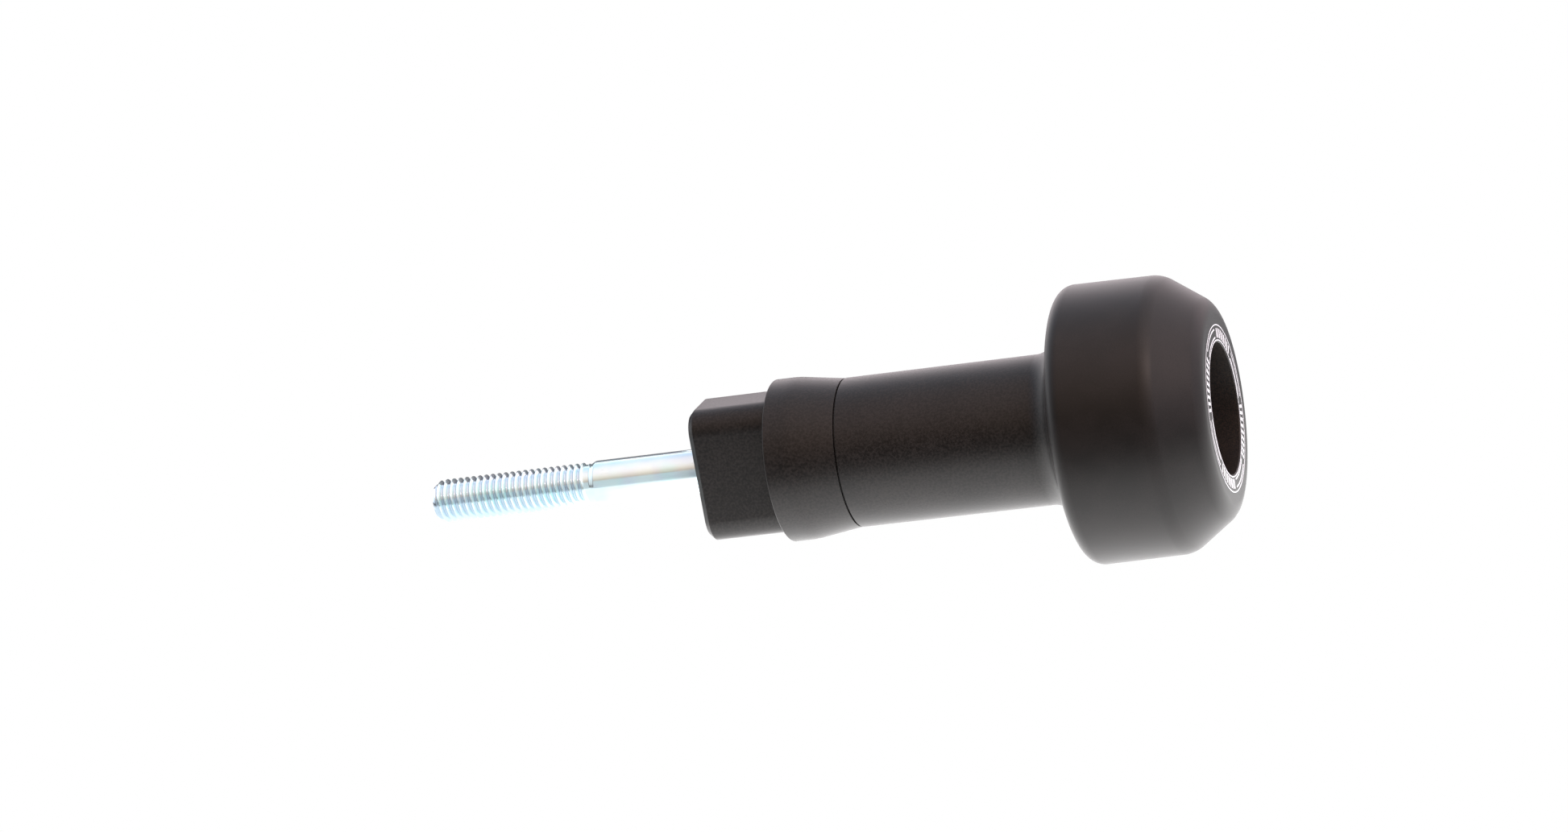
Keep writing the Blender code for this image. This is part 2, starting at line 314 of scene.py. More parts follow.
@dataclass(frozen=True)
class TurnedNylon:
    """Black nylon, turned smooth and left with a satin skin, with painted light inside its bore.
    """

    deep: Colour = (0.008, 0.007, 0.007)
    warm: Colour = (0.013, 0.011, 0.011)
    # painted light: inside the bore the nylon is coloured lighter and warmer than its skin
    bored: Colour = (0.032, 0.022, 0.017)
    bore_light_reach: tuple[float, float] = (0.0116, 0.0120)
    index: float = 1.36
    roughness: float = 0.43
    grain: float = 0.22 * MILLIMETRE
    patch: float = 6.0 * MILLIMETRE
    tool_mark: float = 0.09 * MILLIMETRE
    relief: float = 0.004 * MILLIMETRE
    shade_reach: tuple[float, float] = (0.38, 0.64)
    bore_light_speckle_reach: tuple[float, float] = (0.4, 0.62)
    grain_share: float = 0.5
    grain_spread: float = 0.08
    patch_spread: float = 0.06
    mark_share: float = 0.4

    def make(self) -> Material:
        """Build the material."""
        material, graph = material_graph("black_nylon")
        place = graph.place()
        grain = graph.noise(place, self.grain, FINE_DETAIL)
        patch = graph.noise(place, self.patch)
        marks = graph.noise(graph.lathe(place), self.tool_mark, PLAIN_DETAIL)
        tone = grain.blend(patch, self.grain_share).above(*self.shade_reach)
        skin = graph.mix(tone, self.deep, self.warm)
        # painted light in the bore, speckled by the grain
        cut = graph.mix(grain.above(*self.bore_light_speckle_reach), self.deep, self.bored)
        uneven = (grain - NOISE_MIDDLE) * self.grain_spread
        roughness = self.roughness + uneven + (patch - NOISE_MIDDLE) * self.patch_spread
        height = marks.blend(grain, self.mark_share)
        graph.finish(
            {
                # within the bore's radius the skin gives way to the painted light
                "Base Color": graph.mix(graph.radius().above(*self.bore_light_reach), cut, skin),
                "Roughness": roughness,
                "IOR": self.index,
                "Normal": graph.bump(height, self.relief),
            }
        )
        return material


@dataclass(frozen=True)
class TurnedMetal:
    """Bare aluminium with the fine rings of its turning."""

    bright: Colour = (0.80, 0.78, 0.74)
    darker_tone: Colour = (0.62, 0.60, 0.57)
    roughness: float = 0.24
    ring: float = 0.06 * MILLIMETRE
    patch: float = 3.0 * MILLIMETRE
    relief: float = 0.004 * MILLIMETRE
    shade_reach: tuple[float, float] = (0.3, 0.7)
    ring_share: float = 0.6
    roughness_spread: float = 0.16

    def make(self) -> Material:
        """Build the material."""
        material, graph = material_graph("bare_aluminium")
        place = graph.place()
        rings = graph.noise(graph.lathe(place), self.ring)
        patch = graph.noise(place, self.patch)
        tone = rings.blend(patch, self.ring_share).above(*self.shade_reach)
        graph.finish(
            {
                "Base Color": graph.mix(tone, self.darker_tone, self.bright),
                "Metallic": 1.0,
                "Roughness": self.roughness + rings * self.roughness_spread,
                "Normal": graph.bump(rings, self.relief),
            }
        )
        return material


@dataclass(frozen=True)
class ZincPlate:
    """Bright zinc plating with a blue tint, drawn along the bolt, with painted shade in its
    thread's valleys and at its head end.
    """

    clear: Colour = (0.80, 0.96, 0.97)
    lilac: Colour = (0.76, 0.89, 0.97)
    cyan: Colour = (0.70, 0.95, 0.97)
    # painted shade: faces close to the axis, in the thread's valleys, are coloured darker blue
    valley_painted_shade: Colour = (0.54, 0.66, 0.79)
    valley_shade_reach: tuple[float, float] = (0.0030, 0.0036)
    # painted shade: the bolt's head end and the washer, sunk in the nylon head's bore, are
    # coloured darker
    darker_tone: Colour = (0.40, 0.43, 0.45)
    head_shade_reach: tuple[float, float] = (0.070, 0.074)
    stain: Colour = (0.30, 0.32, 0.35)
    metal: float = 0.75
    roughness: float = 0.17
    roughness_spread: float = 0.16
    grain: float = 0.14 * MILLIMETRE
    grain_share: float = 0.5
    streak: float = 0.21 * MILLIMETRE
    streak_stretch: tuple[float, float, float] = (0.12, 1.0, 1.0)
    tint: float = 5.0 * MILLIMETRE
    tint_reach: tuple[float, float] = (0.36, 0.66)
    hue: float = 8.5 * MILLIMETRE
    hue_stretch: tuple[float, float, float] = (1.0, 2.0, 2.0)
    hue_reach: tuple[float, float] = (0.42, 0.6)
    spot_reach: tuple[float, float] = (0.60, 0.72)
    spot_share: float = 0.3
    relief: float = 0.0015 * MILLIMETRE

    def make(self) -> Material:
        """Build the material."""
        material, graph = material_graph("zinc_plate")
        place = graph.place()
        drawn_out = graph.place(self.streak_stretch)
        grain = graph.noise(place, self.grain, FINE_DETAIL)
        streaks = graph.noise(drawn_out, self.streak)
        tint = graph.noise(place, self.tint)
        hue = graph.noise(graph.place(self.hue_stretch), self.hue)
        cool = graph.mix(hue.above(*self.hue_reach), self.lilac, self.cyan)
        colour = graph.mix(tint.above(*self.tint_reach), cool, self.clear)
        # painted shade wherever the surface lies close to the axis
        clear_of_valley_shade = graph.radius().above(*self.valley_shade_reach)
        colour = graph.mix(clear_of_valley_shade, self.valley_painted_shade, colour)
        along, _, _ = graph.parts(place)
        # painted shade towards the head end
        colour = graph.mix(along.above(*self.head_shade_reach), colour, self.darker_tone)
        uneven = grain.blend(streaks, self.grain_share)
        spots = uneven.above(*self.spot_reach)
        graph.finish(
            {
                "Base Color": graph.mix(spots * self.spot_share, colour, self.stain),
                "Metallic": self.metal,
                "Roughness": self.roughness + (streaks - NOISE_MIDDLE) * self.roughness_spread,
                "Normal": graph.bump(uneven, self.relief),
            }
        )
        return material


@dataclass(frozen=True)
class WhitePrint:
    """Thin white ink, a little worn."""

    ink: Colour = (0.88, 0.89, 0.94)
    faded: Colour = (0.60, 0.60, 0.65)
    roughness: float = 0.5
    roughness_spread: float = 0.1
    wear: float = 0.5 * MILLIMETRE
    wear_reach: tuple[float, float] = (0.5, 0.72)

    def make(self) -> Material:
        """Build the material."""
        material, graph = material_graph("white_print")
        wear = graph.noise(graph.place(), self.wear, WORN_DETAIL)
        graph.finish(
            {
                "Base Color": graph.mix(wear.above(*self.wear_reach), self.ink, self.faded),
                "Roughness": self.roughness + wear * self.roughness_spread,
            }
        )
        return material


# Modelling by operator


def deselect() -> None:
    """Deselect every object."""
    bpy.ops.object.select_all(action="DESELECT")


def pick(item: Object) -> None:
    """Select one object alone and make it active."""
    deselect()
    item.select_set(True)
    bpy.context.view_layer.objects.active = item


def settle(name: str) -> Object:
    """Name the new primitive and move its place into its mesh.

    Args:
        name: The piece's name.

    Returns:
        The object, at the origin.
    """
    item = bpy.context.object
    item.name = name
    item.data.name = name
    pick(item)
    bpy.ops.object.transform_apply(location=True, rotation=True, scale=True)
    return item


@contextmanager
def editing(item: Object) -> Iterator[None]:
    """Open one object in edit mode, with everything selected, and close it again."""
    pick(item)
    bpy.ops.object.mode_set(mode="EDIT")
    bpy.ops.mesh.select_mode(type="EDGE")
    bpy.ops.mesh.select_all(action="SELECT")
    yield
    bpy.ops.object.mode_set(mode="OBJECT")


def select_edges(item: Object, wanted: Callable[[Vector, Vector], bool]) -> None:
    """Select the edges of the edited mesh whose two ends pass a test, and no others."""
    bpy.ops.mesh.select_all(action="DESELECT")
    mesh = bmesh.from_edit_mesh(item.data)
    for edge in mesh.edges:
        edge.select_set(wanted(edge.verts[0].co, edge.verts[1].co))
    bmesh.update_edit_mesh(item.data)


def same(first: float, second: float) -> bool:
    """Tell whether two lengths agree."""
    return abs(first - second) < TOUCH


def from_axis(point: Vector) -> float:
    """Give a point's distance from the slider's axis."""
    return math.hypot(point.y, point.z)


def apply_modifier(item: Object, kind: str, **settings: Any) -> None:
    """Add a modifier with its settings and apply it."""
    modifier = item.modifiers.new(kind.title(), kind)
    for name, value in settings.items():
        setattr(modifier, name, value)
    pick(item)
    bpy.ops.object.modifier_apply(modifier=modifier.name)


def combine(item: Object, tool: Object, operation: str) -> None:
    """Join a piece with a tool or cut it by one, and throw the tool away."""
    apply_modifier(item, "BOOLEAN", operation=operation, solver="EXACT", object=tool)
    bpy.data.objects.remove(tool)


def close_up(item: Object) -> None:
    """Weld a mesh's doubles, cap its holes and turn its faces outwards."""
    with editing(item):
        bpy.ops.mesh.remove_doubles(threshold=TOUCH)
        bpy.ops.mesh.fill_holes(sides=0)
        bpy.ops.mesh.select_all(action="SELECT")
        bpy.ops.mesh.normals_make_consistent(inside=False)


def smooth(item: Object) -> None:
    """Shade a piece smooth between its sharp edges, with its broad faces kept true."""
    pick(item)
    bpy.ops.object.shade_smooth_by_angle(angle=SMOOTH_ANGLE)
    apply_modifier(item, "WEIGHTED_NORMAL", keep_sharp=True, weight=NORMAL_WEIGHT)


def install(item: Object, node: str, body: Body, finish: Material) -> None:
    """Dress a piece and let it stand for its node.

    Args:
        item: The finished mesh.
        node: The CAD node that it replaces.
        body: The body that it rides on.
        finish: Its material.
    """
    smooth(item)
    item.data.materials.clear()
    item.data.materials.append(finish)
    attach(item, body.value)
    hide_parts(node)
    LOG.info("%s: %d faces", item.name, len(item.data.polygons))


@dataclass(frozen=True)
class Ring:
    """One corner of a turned outline.

    station is its place along the slider's axis, radius its distance from the axis, and rounding
    the radius of the arc that takes the corner away.
    """

    station: float
    radius: float
    rounding: float = 0.0

    def meets(self, point: Vector) -> bool:
        """Tell whether a point lies on the ring."""
        return same(point.x, self.station) and same(from_axis(point), self.radius)

    def way(self, other: "Ring") -> Vector:
        """Give the direction to another ring in the outline's plane."""
        return Vector((other.station - self.station, other.radius - self.radius)).normalized()


def round_ring(item: Object, back: Ring, ring: Ring, ahead: Ring) -> None:
    """Bevel one ring of a turned mesh to its rounding.

    Args:
        item: The turned mesh, in edit mode.
        back: The ring before.
        ring: The ring to round.
        ahead: The ring after.
    """
    turn = back.way(ring).angle(ring.way(ahead))
    select_edges(item, lambda one, other: ring.meets(one) and ring.meets(other))
    bpy.ops.mesh.bevel(
        offset_type="OFFSET",
        offset=ring.rounding * math.tan(turn / 2),
        segments=max(LEAST_ARC_STEPS, math.ceil(turn / ARC_STEP)),
        profile=ROUND_PROFILE,
        affect="EDGES",
    )


def turned(name: str, rings: Sequence[Ring], closed: bool, segments: int = WIDE_TURN) -> Object:
    """Turn an outline about the slider's axis.

    The first ring is a circle, and each further ring is extruded from the one before. The corners
    are bevelled last.

    Args:
        name: The piece's name.
        rings: The outline's corners in order.
        closed: Whether the outline returns to its first ring, as on a bored piece. Otherwise
            both ends are capped.
        segments: Faces round the piece.

    Returns:
        The turned piece, closed.
    """
    first = rings[0]
    deselect()
    bpy.ops.mesh.primitive_circle_add(
        vertices=segments,
        radius=first.radius,
        location=(first.station, 0.0, 0.0),
        rotation=(0.0, math.pi / 2, 0.0),
    )
    item = settle(name)
    path = [*rings, first] if closed else list(rings)
    back_end = rings[-1] if closed else Ring(first.station, 0.0)
    front_end = first if closed else Ring(rings[-1].station, 0.0)
    with editing(item):
        for here, ahead in zip(path, path[1:]):
            step = (ahead.station - here.station, 0.0, 0.0)
            bpy.ops.mesh.extrude_region_move(TRANSFORM_OT_translate={"value": step})
            share = ahead.radius / here.radius
            bpy.ops.transform.resize(value=(1.0, share, share), center_override=(0.0, 0.0, 0.0))
    close_up(item)
    with editing(item):
        neighbours = [back_end, *rings, front_end]
        for back, ring, ahead in zip(neighbours, rings, neighbours[2:]):
            if ring.rounding:
                round_ring(item, back, ring, ahead)
    return item


def drawn(name: str, start: Vector, moves: Sequence[Vector]) -> Object:
    """Draw a chain of points, each extruded from the one before.

    Args:
        name: The object's name.
        start: The first point.
        moves: The step to each further point.

    Returns:
        The chain, with edges and no faces.
    """
    deselect()
    bpy.ops.mesh.primitive_plane_add(size=MILLIMETRE)
    chain = settle(name)
    with editing(chain):
        bpy.ops.mesh.select_mode(type="VERT")
        bpy.ops.mesh.merge(type="CENTER")
        bpy.ops.mesh.select_all(action="SELECT")
        bpy.ops.transform.translate(value=start)
        for move in moves:
            bpy.ops.mesh.extrude_vertices_move(TRANSFORM_OT_translate={"value": move})
    return chain


def bore_tool(radius: float, start: float, end: float, chamfer: float) -> Object:
    """Turn a drill with a countersink at both ends of a hole.

    Args:
        radius: The hole's radius.
        start: The face where the hole starts.
        end: The face where it ends.
        chamfer: The countersink's size.

    Returns:
        The tool, which stands out past both faces.
    """
    margin = MILLIMETRE
    wide = radius + chamfer + margin
    rings = [
        Ring(start - margin, wide),
        Ring(start + chamfer, radius),
        Ring(end - chamfer, radius),
        Ring(end + margin, wide),
    ]
    return turned("bore_tool", rings, closed=False, segments=BOLT_TURN)


# The slider's pieces


@dataclass
class Standoff:
    """The keyed frame spacer and the hub, which carry the head away from the motorcycle."""

    bolt_bore: float = 0.0045
    block_length: float = 0.0150
    block_height: float = 0.0243
    block_depth: float = 0.0158
    block_corner: float = 0.0044
    corner_steps: int = 14
    block_chamfer: float = 0.0010
    chamfer_break: float = 0.00010
    break_steps: int = 3
    collar_land: float = 0.0042
    collar_blend: float = 0.012
    seam_step: float = 0.00005
    seam_depth: float = 0.0005
    seam_gap: float = 0.00002
    hub_radius: float = 0.01345
    flange_length: float = 0.0029
    flare_lean: float = 0.0014
    flare_radius: float = 0.0043

    def __post_init__(self) -> None:
        """Read the places and outer sizes of the two nodes."""
        low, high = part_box("frame_spacer")
        self.spacer_start = low.x
        self.spacer_end = high.x
        self.collar_radius = high.z
        low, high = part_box("hub")
        self.hub_start = low.x
        self.hub_end = high.x
        self.foot_radius = high.z

    def block(self) -> Object:
        """Shape the keyed block from a box, with round corners and a chamfered end face."""
        end = self.spacer_start
        length = self.block_length + self.collar_land / 2
        deselect()
        bpy.ops.mesh.primitive_cube_add(
            size=1.0,
            location=(end + length / 2, 0.0, 0.0),
            scale=(length, self.block_depth, self.block_height),
        )
        block = settle("block_tool")
        chamfer_end = end + self.block_chamfer
        with editing(block):
            select_edges(block, lambda one, other: not same(one.x, other.x))
            bpy.ops.mesh.bevel(
                offset=self.block_corner, segments=self.corner_steps, profile=ROUND_PROFILE
            )
            select_edges(block, lambda one, other: same(one.x, end) and same(other.x, end))
            bpy.ops.mesh.bevel(offset=self.block_chamfer, segments=1)
            select_edges(
                block,
                lambda one, other: same(one.x, other.x) and one.x < chamfer_end + TOUCH,
            )
            bpy.ops.mesh.bevel(
                offset=self.chamfer_break, segments=self.break_steps, profile=ROUND_PROFILE
            )
        return block

    def build_spacer(self, finish: Material) -> None:
        """Turn the collar, join it to the block and bore both."""
        collar_start = self.spacer_start + self.block_length
        rings = [
            Ring(collar_start, self.collar_radius, EDGE_BREAK),
            Ring(collar_start + self.collar_land, self.collar_radius, self.collar_blend),
            Ring(self.spacer_end, self.hub_radius - self.seam_step, EDGE_BREAK / 2),
        ]
        spacer = turned("spacer_body", rings, closed=False)
        combine(spacer, self.block(), "UNION")
        drill = bore_tool(self.bolt_bore, self.spacer_start, self.spacer_end, BORE_CHAMFER)
        combine(spacer, drill, "DIFFERENCE")
        install(spacer, "frame_spacer", Body.SLIDER, finish)

    def build_hub(self, finish: Material) -> None:
        """Turn the hub with its bore, its flare and the flange of its foot.

        Its core reaches the collar, so that the seam between the two is a dark groove.
        """
        flange_start = self.hub_end - self.flange_length
        core_start = self.spacer_end + self.seam_gap
        core_radius = self.hub_radius - self.seam_depth
        rings = [
            Ring(core_start, self.bolt_bore, BORE_CHAMFER),
            Ring(core_start, core_radius),
            Ring(self.hub_start, core_radius),
            Ring(self.hub_start, self.hub_radius, EDGE_BREAK / 2),
            Ring(flange_start - self.flare_lean, self.hub_radius, self.flare_radius),
            Ring(flange_start, self.foot_radius, EDGE_BREAK),
            Ring(self.hub_end, self.foot_radius, EDGE_BREAK),
            Ring(self.hub_end, self.bolt_bore, BORE_CHAMFER),
        ]
        hub = turned("hub_body", rings, closed=True)
        install(hub, "hub", Body.SLIDER, finish)


@dataclass
class HeadGroup:
    """The nylon head, the metal insert that seats the hub, and the print on the open face."""

    diameter: float = 0.0499
    shoulder_diameter: float = 0.0495
    shoulder_height: float = 0.0184
    face_diameter: float = 0.0375
    inboard_radius: float = 0.0028
    shoulder_radius: float = 0.0048
    nose_radius: float = 0.0040
    bore_diameter: float = 0.0235
    insert_gap: float = 0.0003
    rim_thickness: float = 0.0030
    seat_depth: float = 0.0014
    seat_radius: float = 0.0158
    sleeve_radius: float = 0.0070
    bolt_bore: float = 0.0045
    ink: float = 0.00002
    ring_inner: float = 0.0120
    ring_outer: float = 0.0147
    line_width: float = 0.00020
    mark_inner: float = 0.0125
    mark_outer: float = 0.0142
    groups: int = 4
    strokes: int = 9
    first_stroke: float = 12.0
    stroke_step: float = 5.0
    stroke_sweep: float = 2.4
    least_steps: int = 2
    pair_start: float = 60.0
    pair_sweep: float = 36.0
    pair_width: float = 0.0003

    def __post_init__(self) -> None:
        """Read the places and outer sizes of the two nodes."""
        low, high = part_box("slider_head")
        self.start = low.x
        self.end = high.x
        low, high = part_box("head_insert")
        self.insert_end = high.x
        self.rim_radius = high.z

    def build_puck(self, finish: Material) -> None:
        """Turn the nylon head with its bore, web and insert recess."""
        face = self.end - self.ink
        recess_radius = self.rim_radius + self.insert_gap
        recess_floor = self.start + self.rim_thickness + self.insert_gap
        sleeve_hole = self.sleeve_radius + self.insert_gap
        bore_radius = self.bore_diameter / 2
        rings = [
            Ring(self.start, recess_radius, EDGE_BREAK),
            Ring(self.start, self.diameter / 2, self.inboard_radius),
            Ring(
                self.start + self.shoulder_height,
                self.shoulder_diameter / 2,
                self.shoulder_radius,
            ),
            Ring(face, self.face_diameter / 2, self.nose_radius),
            Ring(face, bore_radius, EDGE_BREAK),
            Ring(self.insert_end, bore_radius),
            Ring(self.insert_end, sleeve_hole),
            Ring(recess_floor, sleeve_hole),
            Ring(recess_floor, recess_radius),
        ]
        puck = turned("head_puck", rings, closed=True)
        install(puck, "slider_head", Body.SLIDER, finish)

    def build_insert(self, finish: Material) -> None:
        """Turn the insert: a rim with a seat for the hub's foot, and a sleeve."""
        seat_floor = self.start + self.seat_depth
        rim_back = self.start + self.rim_thickness
        rings = [
            Ring(self.start, self.seat_radius, EDGE_BREAK),
            Ring(self.start, self.rim_radius, EDGE_BREAK),
            Ring(rim_back, self.rim_radius, EDGE_BREAK),
            Ring(rim_back, self.sleeve_radius),
            Ring(self.insert_end, self.sleeve_radius, EDGE_BREAK),
            Ring(self.insert_end, self.bolt_bore, BORE_CHAMFER),
            Ring(seat_floor, self.bolt_bore, BORE_CHAMFER),
            Ring(seat_floor, self.seat_radius),
        ]
        insert = turned("insert_ring", rings, closed=True)
        install(insert, "head_insert", Body.SLIDER, finish)

    def arc_mark(self, inner: float, outer: float, start: float, sweep: float) -> Object:
        """Lay one curved stroke of ink on the open face.

        Args:
            inner: The stroke's inner radius.
            outer: Its outer radius.
            start: The angle where it starts, in degrees from the top.
            sweep: Its length, in degrees.

        Returns:
            The stroke, a thin closed solid.
        """
        turn = math.radians(start)
        spoke = Vector((0.0, math.sin(turn), math.cos(turn)))
        foot = Vector((self.end, 0.0, 0.0)) + spoke * inner
        mark = drawn("mark", foot, [spoke * (outer - inner)])
        with editing(mark):
            bpy.ops.mesh.spin(
                steps=max(self.least_steps, math.ceil(sweep)),
                angle=math.radians(sweep),
                center=(0.0, 0.0, 0.0),
                axis=(1.0, 0.0, 0.0),
            )
            bpy.ops.mesh.select_all(action="SELECT")
            bpy.ops.mesh.remove_doubles(threshold=TOUCH)
            bpy.ops.mesh.select_all(action="SELECT")
            bpy.ops.mesh.extrude_region_move(
                TRANSFORM_OT_translate={"value": (-2 * self.ink, 0.0, 0.0)}
            )
            bpy.ops.mesh.select_all(action="SELECT")
            bpy.ops.mesh.normals_make_consistent(inside=False)
        return mark

    def build_marks(self, finish: Material) -> None:
        """Print two fine circles, with groups of strokes and pairs of lines between them."""
        strokes = []
        inner_edge = self.mark_inner + self.pair_width
        outer_edge = self.mark_outer - self.pair_width
        for radius in (self.ring_inner, self.ring_outer):
            for start in (0.0, 180.0):
                strokes.append((radius, radius + self.line_width, start, 180.0))
        for group in range(self.groups):
            base = group * 360.0 / self.groups
            first = base + self.first_stroke
            pair = base + self.pair_start
            for stroke in range(self.strokes):
                turn = first + stroke * self.stroke_step
                strokes.append((self.mark_inner, self.mark_outer, turn, self.stroke_sweep))
            strokes.append((self.mark_inner, inner_edge, pair, self.pair_sweep))
            strokes.append((outer_edge, self.mark_outer, pair, self.pair_sweep))
        marks = [self.arc_mark(*stroke) for stroke in strokes]
        deselect()
        for mark in marks:
            mark.select_set(True)
        bpy.context.view_layer.objects.active = marks[0]
        bpy.ops.object.join()
        print_layer = marks[0]
        print_layer.name = "face_ring_marks"
        print_layer.data.materials.clear()
        print_layer.data.materials.append(finish)
        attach(print_layer, Body.SLIDER.value)
        LOG.info("%s: %d strokes", print_layer.name, len(strokes))


@dataclass
class Fastener:
    """The long bolt with its rolled thread and hexagon socket, and the washer under its head."""

    thread_radius: float = 0.0039
    shank_radius: float = 0.0040
    pitch: float = 0.00125
    thread_depth: float = 0.00074
    thread_length: float = 0.0299
    flat_share: float = 1 / 8
    flank_share: float = 5 / 16
    lead_turns: float = 1.6
    spare_turns: int = 3
    tip_radius: float = 0.0029
    neck_radius: float = 0.0035
    neck_length: float = 0.0003
    shoulder_length: float = 0.0010
    shoulder_round: float = 0.0006
    corner_round: float = 0.00006
    corner_steps: int = 2
    tip_slope: float = 0.75
    fade_slope: float = 1.2
    tuck: float = 0.0001
    helix_steps: int = 72
    head_height: float = 0.0080
    head_edge: float = 0.0006
    socket_sides: int = 6
    socket_flats: float = 0.0060
    socket_depth: float = 0.0046
    socket_cone: float = 0.0012
    cone_point: float = 0.02
    knurls: int = 64
    knurl_depth: float = 0.00012
    knurl_aim: float = 0.1
    washer_bore: float = 0.0045

    def __post_init__(self) -> None:
        """Read the places and outer sizes of the two nodes."""
        low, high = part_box("through_bolt")
        self.tip = low.x
        self.top = high.x
        self.head_radius = high.z
        self.seat = high.x - self.head_height
        self.thread_end = low.x + self.thread_length
        low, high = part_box("bolt_washer")
        self.washer_start = low.x
        self.washer_end = high.x
        self.washer_radius = high.z

    def thread_rod(self) -> Object:
        """Roll the thread: one tooth's outline, drawn point by point, is wound along the axis."""
        root = self.thread_radius - self.thread_depth
        flank = self.pitch * self.flank_share
        flat = Vector((self.pitch * self.flat_share, 0.0, 0.0))
        rise = Vector((flank, 0.0, self.thread_depth))
        fall = Vector((flank, 0.0, -self.thread_depth))
        turns = math.ceil(self.thread_length / self.pitch) + self.spare_turns
        start = Vector((self.tip - self.pitch * self.lead_turns, 0.0, root))
        rod = drawn("thread_rod", start, [flat, rise, flat, fall, flat])
        with editing(rod):
            bpy.ops.mesh.select_mode(type="VERT")
            bpy.ops.mesh.select_all(action="DESELECT")
            mesh = bmesh.from_edit_mesh(rod.data)
            for vert in mesh.verts:
                vert.select_set(len(vert.link_edges) == 2)
            bmesh.update_edit_mesh(rod.data)
            bpy.ops.mesh.bevel(
                affect="VERTICES", offset=self.corner_round, segments=self.corner_steps
            )
        apply_modifier(
            rod,
            "SCREW",
            axis="X",
            angle=math.tau,
            screw_offset=self.pitch,
            iterations=turns,
            steps=self.helix_steps,
            render_steps=self.helix_steps,
            use_merge_vertices=False,
        )
        with editing(rod):
            bpy.ops.mesh.remove_doubles(threshold=TOUCH)
            for place, way in ((self.tip, -1.0), (self.thread_end, 1.0)):
                bpy.ops.mesh.select_all(action="SELECT")
                bpy.ops.mesh.bisect(
                    plane_co=(place, 0.0, 0.0),
                    plane_no=(way, 0.0, 0.0),
                    use_fill=True,
                    clear_outer=True,
                    threshold=TOUCH,
                )
            bpy.ops.mesh.select_all(action="SELECT")
            bpy.ops.mesh.normals_make_consistent(inside=False)
        return rod

    def trim_thread(self, rod: Object) -> None:
        """Chamfer the thread's tip and let its last turn run out."""
        fade_radius = self.neck_radius - self.tuck
        for vert in rod.data.vertices:
            radius = from_axis(vert.co)
            from_tip = self.tip_radius + (vert.co.x - self.tip) * self.tip_slope
            from_end = fade_radius + (self.thread_end - vert.co.x) * self.fade_slope
            limit = min(from_tip, from_end)
            if radius > limit:
                vert.co.y *= limit / radius
                vert.co.z *= limit / radius

    def socket_tool(self) -> Object:
        """Shape the hexagon key's hole, with the cone of its drilled floor."""
        corner = self.socket_flats / math.sqrt(3)
        floor = self.top - self.socket_depth
        rings = [
            Ring(self.top + MILLIMETRE, corner),
            Ring(floor, corner),
            Ring(floor - self.socket_cone, corner * self.cone_point),
        ]
        return turned("socket_tool", rings, closed=False, segments=self.socket_sides)

    def on_knurl(self, point: Vector, low: float, high: float) -> bool:
        """Tell whether a point lies on one of the knurl's lines, between its two ends."""
        line = math.atan2(point.z, point.y) * self.knurls / math.tau
        on_side = same(from_axis(point), self.head_radius)
        on_line = abs(line - round(line)) < self.knurl_aim
        return on_side and on_line and low - TOUCH < point.x < high + TOUCH

    def cut_knurl(self, bolt: Object) -> None:
        """Press the head's knurl: lines along its side are drawn in towards the axis.

        Each line is cut near its ends too, because sharp shading starts at a line's second point.
        """
        margin = 2 * self.head_edge
        low = self.seat + margin
        high = self.top - margin
        with editing(bolt):
            for place in (low, low + EDGE_BREAK, high - EDGE_BREAK, high):
                bpy.ops.mesh.select_all(action="SELECT")
                bpy.ops.mesh.bisect(
                    plane_co=(place, 0.0, 0.0), plane_no=(1.0, 0.0, 0.0), threshold=TOUCH
                )
            select_edges(
                bolt,
                lambda one, other: self.on_knurl(one, low, high)
                and self.on_knurl(other, low, high)
                and not same(one.x, other.x),
            )
            share = 1.0 - self.knurl_depth / self.head_radius
            bpy.ops.transform.resize(value=(1.0, share, share), center_override=(0.0, 0.0, 0.0))

    def build_bolt(self, finish: Material) -> None:
        """Turn the shank and head, knurl it, cut its socket and join the thread."""
        neck_start = self.thread_end - self.pitch
        shoulder = self.thread_end + self.neck_length
        rings = [
            Ring(neck_start, self.neck_radius),
            Ring(shoulder, self.neck_radius, self.shoulder_round),
            Ring(shoulder + self.shoulder_length, self.shank_radius, self.shoulder_round),
            Ring(self.seat, self.shank_radius),
            Ring(self.seat, self.head_radius, EDGE_BREAK),
            Ring(self.top, self.head_radius, self.head_edge),
        ]
        bolt = turned("bolt_body", rings, closed=False, segments=BOLT_TURN)
        self.cut_knurl(bolt)
        combine(bolt, self.socket_tool(), "DIFFERENCE")
        rod = self.thread_rod()
        self.trim_thread(rod)
        combine(bolt, rod, "UNION")
        install(bolt, "through_bolt", Body.BOLT, finish)

    def build_washer(self, finish: Material) -> None:
        """Turn the washer."""
        rings = [
            Ring(self.washer_start, self.washer_bore),
            Ring(self.washer_start, self.washer_radius, EDGE_BREAK),
            Ring(self.washer_end, self.washer_radius, EDGE_BREAK),
            Ring(self.washer_end, self.washer_bore),
        ]
        washer = turned("washer_disc", rings, closed=True, segments=BOLT_TURN)
        install(washer, "bolt_washer", Body.SLIDER, finish)


# Studio


def toward(azimuth: float, elevation: float) -> Vector:
    """Give the direction to a place round the slider: azimuth runs from its flats to its head."""
    turn = math.radians(azimuth)
    lift = math.radians(elevation)
    flat = math.cos(lift)
    return Vector((math.sin(turn) * flat, -math.cos(turn) * flat, math.sin(lift)))


